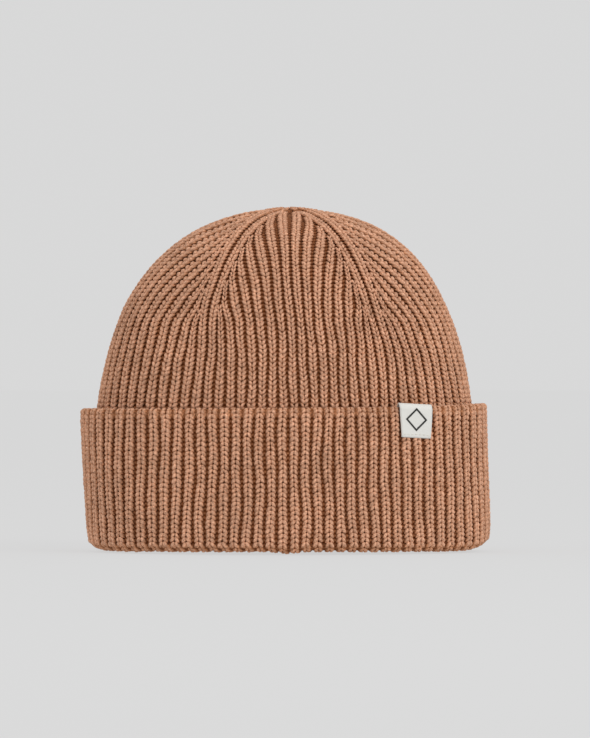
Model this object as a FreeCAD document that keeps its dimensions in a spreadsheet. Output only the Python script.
import FreeCAD, Part
import os

import Sketcher

# A rib-knit beanie with a wide turned-up cuff, standing on its folded edge and opened out to the oval of a head.
# Millimetres. Origin at the middle of the oval on the surface it stands on, +Z up through the crown, the labelled
# front towards -Y, and +X to the right of someone who looks at that front.
#
# Every level of the knitted body is an ellipse. Its half width and half depth fall off with height z as
#     half * (1 - (z / height) ^ top_power) ^ (1 / side_power)
# so one pair of powers draws the straight sides, the shoulders and the nearly flat top.

DIMENSIONS = {
    # knitted body, outside
    "body_width": 208.6,
    "body_depth": 154.0,
    "body_height": 184.7,
    "side_power": 2.386,
    "top_power": 3.134,
    "body_wall": 4.2,
    # crown: where the decreases begin, half of the front gore's turn, and the drawn-together top
    "crown_start": 124.0,
    "gore_half_turn": 30.0,
    "gather_radius": 9.0,
    "gather_rise": 1.3,
    "thread_ring_radius": 4.5,
    "thread_radius": 0.6,
    "knot_radius": 1.6,
    # turned-up cuff
    "cuff_height": 78.3,
    "cuff_wall": 4.6,
    "cuff_gap": 0.5,
    "fold_land": 1.2,
    "edge_land": 0.5,
    # back seam, inside the body and down the cuff
    "seam_width": 5.0,
    "seam_rise": 1.6,
    "cuff_seam_width": 3.2,
    "cuff_seam_rise": 0.6,
    # brand label, folded over the cuff's top edge
    "label_offset": 70.7,
    "label_width": 19.5,
    "label_drop": 18.0,
    "label_wall": 0.7,
    "mark_width": 13.0,
    "mark_height": 11.2,
    "mark_line": 1.3,
    "mark_wall": 0.2,
    "mark_drop": 8.8,
    "stitch_length": 1.5,
    "stitch_height": 0.5,
    "stitch_rise": 0.3,
    "stitch_pitch": 2.5,
    "stitch_inset": 1.6,
    # care label, caught in the back seam inside the body
    "care_width": 25.0,
    "care_height": 32.0,
    "care_wall": 0.7,
    "care_level": 20.0,
    "care_gap": 0.8,
    "care_lean": 12.0,
}

CROWN_STEPS = 10
CROWN_EASE = 1.4
LABEL_STITCHES = 7

doc = FreeCAD.newDocument("beanie")
dims = doc.addObject("Spreadsheet::Sheet", "dims")
for row, (alias, value) in enumerate(DIMENSIONS.items(), start=1):
    dims.set(f"A{row}", alias)
    dims.set(f"B{row}", str(value))
    dims.setAlias(f"B{row}", alias)
doc.recompute()


# ---- small makers: each adds one object whose sizes stay bound to the sheet ----

def bind(thing, **expressions):
    """Bind properties, with dots written as double underscores, to expressions of the sheet."""
    for path, expression in expressions.items():
        thing.setExpression(path.replace("__", "."), expression)
    return thing


def ellipse(half_width, half_depth, level):
    """A level ellipse about the upright axis."""
    ring = doc.addObject("Part::Ellipse", "ring")
    return bind(ring, MajorRadius=half_width, MinorRadius=half_depth, Placement__Base__z=level)


def loft(name, sections):
    """A closed solid through level ellipses, given as (half width, half depth, level)."""
    solid = doc.addObject("Part::Loft", name)
    solid.Sections = [ellipse(*section) for section in sections]
    solid.Solid = True
    solid.Ruled = False
    return solid


def cut(name, base, tool):
    result = doc.addObject("Part::Cut", name)
    result.Base = base
    result.Tool = tool
    return result


def common(name, *shapes):
    result = doc.addObject("Part::MultiCommon", name)
    result.Shapes = list(shapes)
    return result


def fuse(name, *shapes):
    result = doc.addObject("Part::MultiFuse", name)
    result.Shapes = list(shapes)
    return result


def box(name, width, depth, height, middle_x, middle_y, level, turn="0"):
    """A box turned about the upright axis, placed by the middle of its floor."""
    block = doc.addObject("Part::Box", name)
    block.Placement.Rotation = FreeCAD.Rotation(FreeCAD.Vector(0, 0, 1), 1.0)
    return bind(
        block,
        Length=width,
        Width=depth,
        Height=height,
        Placement__Rotation__Angle=turn,
        Placement__Base__x=f"{middle_x} - cos({turn}) * ({width}) / 2 + sin({turn}) * ({depth}) / 2",
        Placement__Base__y=f"{middle_y} - sin({turn}) * ({width}) / 2 - cos({turn}) * ({depth}) / 2",
        Placement__Base__z=level,
    )


# ---- the knitted body's outline, as expressions of the sheet ----

FOLD_HEIGHT = "(dims.body_wall + dims.cuff_gap + dims.cuff_wall) / 2"


def fall(level, inset="0"):
    """How much of the half width or depth is left at a level, for the outline moved in by inset."""
    return f"(1 - (({level}) / (dims.body_height - {inset})) ^ dims.top_power) ^ (1 / dims.side_power)"


def body_half(size, level, inset="0"):
    return f"(dims.{size} / 2 - {inset}) * {fall(level, inset)}"


def tube_sections(inset="0"):
    """Ellipses from the fold to the first decreases, evenly spaced in height."""
    sections = []
    for share in (0.0, 0.25, 0.5, 0.75, 1.0):
        level = f"({FOLD_HEIGHT} + (dims.crown_start - {FOLD_HEIGHT}) * {share})"
        sections.append((body_half("body_width", level, inset), body_half("body_depth", level, inset), level))
    return sections


def crown_sections(inset="0"):
    """Ellipses from the first decreases to the gather, close together where the wall is steep."""
    sections = []
    start = fall("dims.crown_start", inset)
    end = "dims.gather_radius / dims.body_width"
    for step in range(CROWN_STEPS + 1):
        share = (step / CROWN_STEPS) ** CROWN_EASE
        left = f"({start} + ({end} - {start}) * {share:.5f})"
        level = f"(dims.body_height - {inset}) * (1 - {left} ^ dims.side_power) ^ (1 / dims.top_power)"
        sections.append((
            f"(dims.body_width / 2 - {inset}) * {left}",
            f"(dims.body_depth / 2 - {inset}) * {left}",
            level,
        ))
    return sections


EDGE_HEIGHT = "dims.cuff_wall / 2"
EDGE_LEVEL = f"(dims.cuff_height - {EDGE_HEIGHT})"
GATHER_DEPTH = "dims.gather_radius * dims.body_depth / dims.body_width"

# ---- body tube: the straight ribbed part, from the fold up to the first decreases ----

tube_inside = loft("tube_inside", tube_sections("dims.body_wall"))
body_tube = cut("body_tube", loft("tube_outside", tube_sections()), tube_inside)

# ---- crown: four gores that meet on the decrease lines, left open at the top for the gather ----

gather_core = loft("gather_core", [
    ("dims.gather_radius", GATHER_DEPTH, "dims.crown_start"),
    ("dims.gather_radius", GATHER_DEPTH, "dims.body_height + dims.gather_rise"),
])
crown_inside = loft("crown_inside", crown_sections("dims.body_wall"))
crown_wall = cut("crown_wall", loft("crown_outside", crown_sections()), crown_inside)
crown_shell = cut("crown_shell", crown_wall, gather_core)

FRONT_SPREAD = "tan(dims.gore_half_turn) * dims.body_width / dims.body_depth"


def gore(name, turn, spread):
    """The crown inside a wedge about the upright axis that opens towards -Y before it is turned."""
    wedge = doc.addObject("Part::Wedge", f"{name}_wedge")
    wedge.Placement.Rotation = FreeCAD.Rotation(FreeCAD.Vector(0, 0, 1), turn)
    bind(
        wedge,
        Xmin=f"-({spread}) * dims.body_width",
        Xmax=f"({spread}) * dims.body_width",
        Ymin="-dims.body_width",
        Ymax="0",
        Zmin="dims.crown_start",
        Zmax="dims.body_height + dims.gather_rise",
        X2min="0",
        X2max="0",
        Z2min="dims.crown_start",
        Z2max="dims.body_height + dims.gather_rise",
    )
    return common(name, crown_shell, wedge)


crown_gores = [
    gore("crown_front_gore", 0, FRONT_SPREAD),
    gore("crown_right_gore", 90, f"1 / ({FRONT_SPREAD})"),
    gore("crown_back_gore", 180, FRONT_SPREAD),
    gore("crown_left_gore", 270, f"1 / ({FRONT_SPREAD})"),
]

# ---- gather: the last stitches drawn together, with the thread ring and its knot inside ----

GATHER_FLOOR = "(dims.body_height - dims.body_wall)"


def gather_section(share, rise):
    return (
        f"dims.gather_radius * {share}",
        f"{GATHER_DEPTH} * {share}",
        f"dims.body_height - 0.15 + (dims.gather_rise + 0.15) * {rise}",
    )


gather_blank = loft("gather_blank", [
    ("dims.gather_radius", GATHER_DEPTH, GATHER_FLOOR),
    ("dims.gather_radius", GATHER_DEPTH, "dims.body_height - 0.15"),
])
gather_cap = loft("gather_cap", [gather_section(1.0, 0.0), gather_section(0.86, 0.6), gather_section(0.5, 1.0)])
crown_gather = fuse("crown_gather", gather_blank, gather_cap)

gather_thread = doc.addObject("Part::Torus", "gather_thread")
bind(
    gather_thread,
    Radius1="dims.thread_ring_radius",
    Radius2="dims.thread_radius",
    Placement__Base__z=f"{GATHER_FLOOR} - dims.thread_radius",
)
gather_knot = doc.addObject("Part::Sphere", "gather_knot")
bind(
    gather_knot,
    Radius="dims.knot_radius",
    Placement__Base__y="dims.thread_ring_radius",
    Placement__Base__z=f"{GATHER_FLOOR} - 2 * dims.thread_radius - dims.knot_radius",
)

# ---- cuff fold: the rolled lower edge, with a narrow flat ring where the hat stands ----

FOLD_WIDTH = "(dims.body_width / 2 + (dims.cuff_gap + dims.cuff_wall - dims.body_wall) / 2)"
FOLD_DEPTH = "(dims.body_depth / 2 + (dims.cuff_gap + dims.cuff_wall - dims.body_wall) / 2)"


def fold_sections(side):
    """Quarter round from the flat ring up to the walls, outwards for side 1 and inwards for side -1."""
    sections = []
    for angle in (0, 25, 50, 70, 90):
        reach = f"{side} * (dims.fold_land + ({FOLD_HEIGHT} - dims.fold_land) * sin({angle}))"
        level = f"{FOLD_HEIGHT} * (1 - cos({angle}))"
        sections.append((f"{FOLD_WIDTH} + {reach}", f"{FOLD_DEPTH} + {reach}", level))
    return sections


cuff_fold = cut("cuff_fold", loft("fold_outside", fold_sections(1)), loft("fold_inside", fold_sections(-1)))

# ---- cuff: hugs the body at front and back, stands upright at the sides, ends in a rounded cast-on edge ----

CUFF_INNER_WIDTH = "(dims.body_width / 2 + dims.cuff_gap)"


def cuff_inner_depth(level):
    return f"({body_half('body_depth', level)} + dims.cuff_gap)"


def cuff_sections(offset):
    """Ellipses up the cuff, offset outwards from its inner face."""
    sections = []
    for share in (0.0, 0.4, 0.7, 1.0):
        level = f"({FOLD_HEIGHT} + ({EDGE_LEVEL} - {FOLD_HEIGHT}) * {share})"
        sections.append((
            f"{CUFF_INNER_WIDTH} + {offset}",
            f"{cuff_inner_depth(level)} + {offset}",
            level,
        ))
    return sections


def edge_sections(side, grow="0"):
    """Quarter round from the cuff's wall to the edge's flat, for one side of the wall, grown by grow."""
    middle = "dims.cuff_wall / 2"
    sections = []
    for angle in (0, 30, 60, 85):
        reach = f"{side} * (dims.edge_land + ({middle} - dims.edge_land + {grow}) * cos({angle}))"
        offset = f"{middle} + {reach}"
        sections.append((
            f"{CUFF_INNER_WIDTH} + {offset}",
            f"{cuff_inner_depth(EDGE_LEVEL)} + {offset}",
            f"{EDGE_LEVEL} + ({EDGE_HEIGHT} + {grow}) * sin({angle})",
        ))
    return sections


def cuff_wall(name, grow="0"):
    outer = loft(f"{name}_outside", cuff_sections(f"(dims.cuff_wall + {grow})"))
    inner = loft(f"{name}_inside", cuff_sections(f"(0 - {grow})"))
    return cut(name, outer, inner)


def cuff_edge(name, grow="0"):
    outer = loft(f"{name}_outside", edge_sections(1, grow))
    inner = loft(f"{name}_inside", edge_sections(-1, grow))
    return cut(name, outer, inner)


turn_up_cuff = cuff_wall("turn_up_cuff")
cast_on_edge = cuff_edge("cast_on_edge")

# ---- back seam: the ridge inside the body and the linked line down the back of the cuff ----

SEAM_FACE = "(dims.body_wall + dims.seam_rise)"
tube_seam_layer = cut("tube_seam_layer", tube_inside, loft("tube_seam_face", tube_sections(SEAM_FACE)))
crown_seam_layer = cut("crown_seam_layer", crown_inside, loft("crown_seam_face", crown_sections(SEAM_FACE)))
seam_layer = fuse("seam_layer", tube_seam_layer, crown_seam_layer)
seam_strip = box(
    "seam_strip", "dims.seam_width", "dims.body_depth", f"dims.body_height - {FOLD_HEIGHT}",
    "0", "dims.body_depth / 2 + dims.gather_radius", FOLD_HEIGHT,
)
back_seam = common("back_seam", seam_layer, seam_strip)

cuff_seam_layer = cut("cuff_seam_layer", cuff_wall("cuff_seam_wall", "dims.cuff_seam_rise"), turn_up_cuff)
cuff_seam_strip = box(
    "cuff_seam_strip", "dims.cuff_seam_width", "dims.body_depth / 2", "dims.cuff_height",
    "0", f"{cuff_inner_depth(FOLD_HEIGHT)} + dims.cuff_wall / 2 + dims.body_depth / 4", "0",
)
cuff_seam = common("cuff_seam", cuff_seam_layer, cuff_seam_strip)

# ---- brand label: a woven tape folded over the cast-on edge, with a lozenge outline and a row of stitches ----

CUFF_WIDTH = f"({CUFF_INNER_WIDTH} + dims.cuff_wall)"
CUFF_DEPTH = f"({cuff_inner_depth(EDGE_LEVEL)} + dims.cuff_wall)"
LABEL_AT = f"asin(dims.label_offset / {CUFF_WIDTH})"
LABEL_X = f"{CUFF_WIDTH} * sin({LABEL_AT})"
LABEL_Y = f"(0 - {CUFF_DEPTH} * cos({LABEL_AT}))"
LABEL_TURN = f"atan(tan({LABEL_AT}) * {CUFF_DEPTH} / {CUFF_WIDTH})"
LABEL_TOP = "(dims.cuff_height + dims.label_wall)"
LABEL_REACH = "4 * dims.cuff_wall"

label_box = box(
    "label_box", "dims.label_width", LABEL_REACH, f"dims.label_drop + dims.cuff_wall",
    LABEL_X, LABEL_Y, f"{LABEL_TOP} - dims.label_drop", LABEL_TURN,
)
label_wall_layer = cut("label_wall_layer", cuff_wall("label_wall_blank", "dims.label_wall"), turn_up_cuff)
label_edge_layer = cut("label_edge_layer", cuff_edge("label_edge_blank", "dims.label_wall"), cast_on_edge)
label_jacket = fuse("label_jacket", label_wall_layer, label_edge_layer)
brand_label = common("brand_label", label_jacket, label_box)

label_face = loft("label_face", cuff_sections("(dims.cuff_wall + dims.label_wall)"))
mark_face = loft("mark_face", cuff_sections("(dims.cuff_wall + dims.label_wall + dims.mark_wall)"))
mark_layer = cut("mark_layer", mark_face, label_face)

lozenge = doc.addObject("PartDesign::Body", "lozenge")
plane = next(feature for feature in lozenge.Origin.OriginFeatures if feature.Role == "XZ_Plane")
outline = lozenge.newObject("Sketcher::SketchObject", "lozenge_outline")
outline.AttachmentSupport = [(plane, "")]
outline.MapMode = "FlatFace"
rings = {"outer": (6, ""), "inner": (5, " - dims.mark_line")}
for ring, (reach, less) in rings.items():
    first = outline.GeometryCount
    corners = [FreeCAD.Vector(*point, 0) for point in ((reach, 0), (0, reach), (-reach, 0), (0, -reach))]
    for place, corner in enumerate(corners):
        outline.addGeometry(Part.LineSegment(corner, corners[(place + 1) % 4]), False)
    for place in range(4):
        outline.addConstraint(Sketcher.Constraint("Coincident", first + place, 2, first + (place + 1) % 4, 1))
        outline.addConstraint(Sketcher.Constraint("PointOnObject", first + place, 1, -1 - place % 2))
    sides = {
        "right": ("DistanceX", -1, 1, first, 1, "dims.mark_width / 2"),
        "top": ("DistanceY", -1, 1, first + 1, 1, "dims.mark_height / 2"),
        "left": ("DistanceX", first + 2, 1, -1, 1, "dims.mark_width / 2"),
        "bottom": ("DistanceY", first + 3, 1, -1, 1, "dims.mark_height / 2"),
    }
    for side, (kind, start, start_end, stop, stop_end, half) in sides.items():
        index = outline.addConstraint(Sketcher.Constraint(kind, start, start_end, stop, stop_end, float(reach)))
        outline.renameConstraint(index, f"{ring}_{side}")
        outline.setExpression(f"Constraints.{ring}_{side}", half + less)
lozenge_pad = lozenge.newObject("PartDesign::Pad", "lozenge_pad")
lozenge_pad.Profile = outline
lozenge_pad.Midplane = True
bind(lozenge_pad, Length=LABEL_REACH)
lozenge.Placement.Rotation = FreeCAD.Rotation(FreeCAD.Vector(0, 0, 1), 1.0)
bind(
    lozenge,
    Placement__Rotation__Angle=LABEL_TURN,
    Placement__Base__x=LABEL_X,
    Placement__Base__y=LABEL_Y,
    Placement__Base__z=f"{LABEL_TOP} - dims.mark_drop",
)
label_mark = common("label_mark", mark_layer, lozenge)

stitch_face = loft("stitch_face", cuff_sections("(dims.cuff_wall + dims.label_wall + dims.stitch_rise)"))
stitch_layer = cut("stitch_layer", stitch_face, label_face)
stitch_blocks = []
for stitch in range(LABEL_STITCHES):
    along = f"dims.stitch_pitch * ({stitch - (LABEL_STITCHES - 1) / 2})"
    stitch_blocks.append(box(
        f"stitch_block_{stitch}", "dims.stitch_length", LABEL_REACH, "dims.stitch_height",
        f"{LABEL_X} + cos({LABEL_TURN}) * {along}", f"{LABEL_Y} + sin({LABEL_TURN}) * {along}",
        f"{LABEL_TOP} - dims.label_drop + dims.stitch_inset", LABEL_TURN,
    ))
label_stitches = common("label_stitches", stitch_layer, fuse("stitch_row", *stitch_blocks))

# ---- care label: a blank folded tape caught in the back seam, free to turn like a page ----

care_label = box(
    "care_label", "dims.care_width", "dims.care_wall", "dims.care_height",
    "cos(0 - dims.care_lean) * dims.care_width / 2",
    f"{body_half('body_depth', 'dims.care_level + dims.care_height', 'dims.body_wall')}"
    " - dims.seam_rise - dims.care_gap + sin(0 - dims.care_lean) * dims.care_width / 2",
    "dims.care_level", "(0 - dims.care_lean)",
)

# ---- names, checks and files ----

nodes = {
    "body_tube": body_tube,
    "crown_front_gore": crown_gores[0],
    "crown_right_gore": crown_gores[1],
    "crown_back_gore": crown_gores[2],
    "crown_left_gore": crown_gores[3],
    "crown_gather": crown_gather,
    "gather_thread": gather_thread,
    "gather_knot": gather_knot,
    "cuff_fold": cuff_fold,
    "turn_up_cuff": turn_up_cuff,
    "cast_on_edge": cast_on_edge,
    "back_seam": back_seam,
    "cuff_seam": cuff_seam,
    "brand_label": brand_label,
    "label_mark": label_mark,
    "label_stitches": label_stitches,
    "care_label": care_label,
}

doc.recompute()
for thing in doc.Objects:
    if "Invalid" in thing.State or "Error" in thing.State:
        raise RuntimeError(f"{thing.Name} did not rebuild: {thing.State}")
os.makedirs("parts", exist_ok=True)
for node, thing in nodes.items():
    thing.Label = node
    shape = thing.Shape
    if shape.isNull() or not shape.isValid() or shape.Volume <= 0:
        raise RuntimeError(f"{node} has no valid solid")
    shape.exportStep(f"parts/{node}.step")
    limits = shape.BoundBox
    print(
        f"{node:18s} solids {len(shape.Solids)} volume {shape.Volume / 1000:8.3f} cm3"
        f"  x {limits.XMin:7.1f} {limits.XMax:7.1f}  y {limits.YMin:7.1f} {limits.YMax:7.1f}"
        f"  z {limits.ZMin:7.1f} {limits.ZMax:7.1f}"
    )
